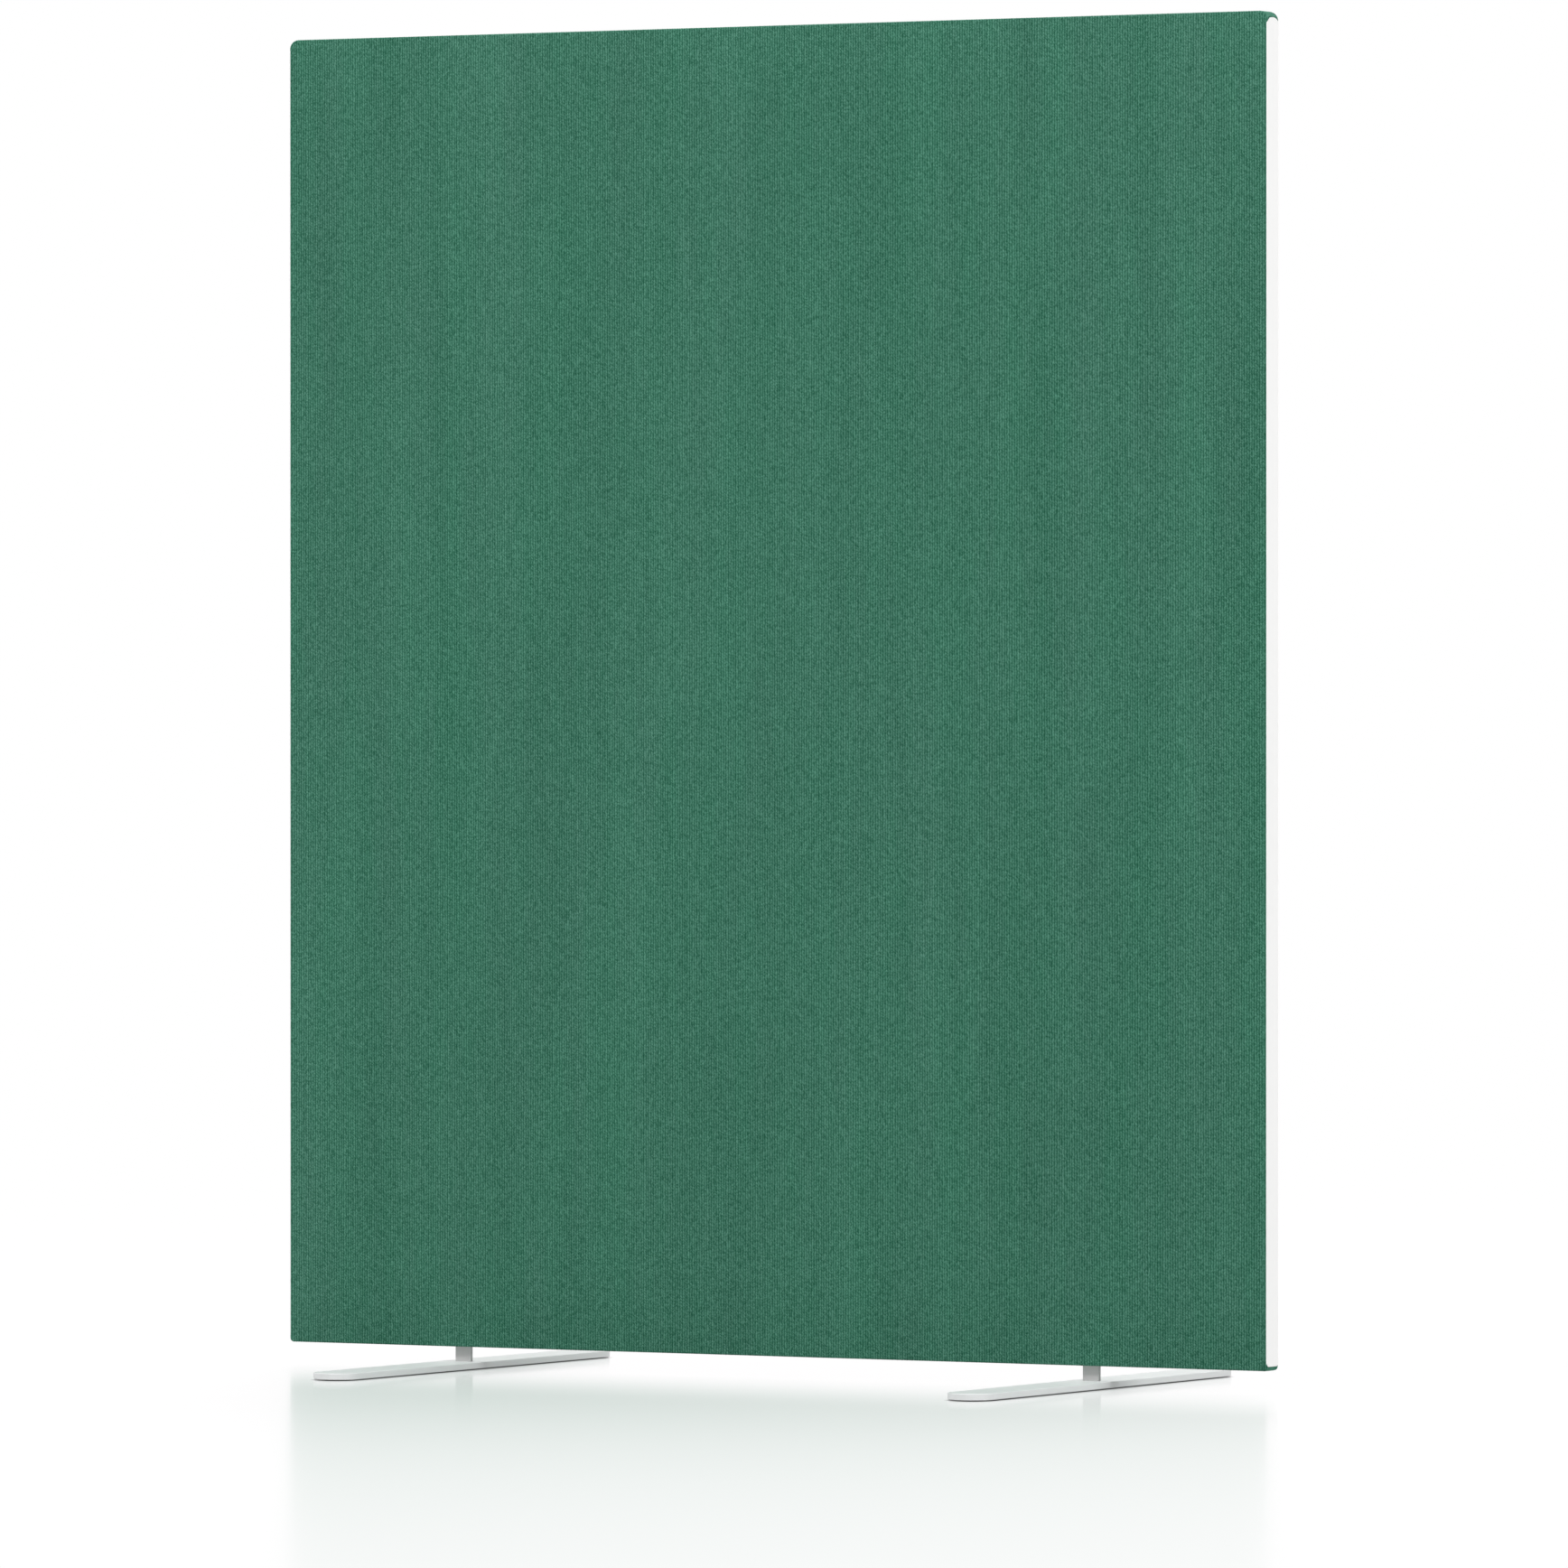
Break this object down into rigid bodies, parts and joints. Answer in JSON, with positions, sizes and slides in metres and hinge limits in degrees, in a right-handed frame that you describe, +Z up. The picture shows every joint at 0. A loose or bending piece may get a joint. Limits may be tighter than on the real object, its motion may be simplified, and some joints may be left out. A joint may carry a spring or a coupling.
{
  "type": "acoustic divider screen",
  "caption": "Free-standing acoustic floor screen: a thin cloth-covered absorbing panel with snap-in end strips, standing on flat steel cross feet.",
  "frame": {"origin": "on the floor, under the middle of the panel", "axes": "+X along the panel's width, +Y through its thickness away from the pictured face, +Z up"},
  "size_m": [1.4, 0.66, 1.678],
  "materials": {
    "green_cloth": "woven, ribbed melange",
    "white_strip": "smooth satin",
    "white_steel": "powder coated, satin",
    "glide_rubber": "matte",
    "felt": "needled felt",
    "absorber": "pressed fibre",
    "frame_wood": "planed, untreated",
    "bare_steel": "zinc plated"
  },
  "bodies": {
    "root": {"fabric_cover": "green_cloth", "front_felt": "felt", "rear_felt": "felt", "top_rail": "frame_wood", "bottom_rail": "frame_wood", "left_stile": "frame_wood", "right_stile": "frame_wood", "centre_mullion": "frame_wood", "left_foot_block": "frame_wood", "right_foot_block": "frame_wood", "left_core_slab": "absorber", "right_core_slab": "absorber", "left_foot_socket": "bare_steel", "right_foot_socket": "bare_steel", "socket_screws": "bare_steel", "hem_staples": "bare_steel", "left_edge_strip": "white_strip", "right_edge_strip": "white_strip", "left_foot_tongue": "white_steel", "right_foot_tongue": "white_steel", "left_foot_plate": "white_steel", "right_foot_plate": "white_steel", "left_foot_glides": "glide_rubber", "right_foot_glides": "glide_rubber"}
  },
  "joints": []
}
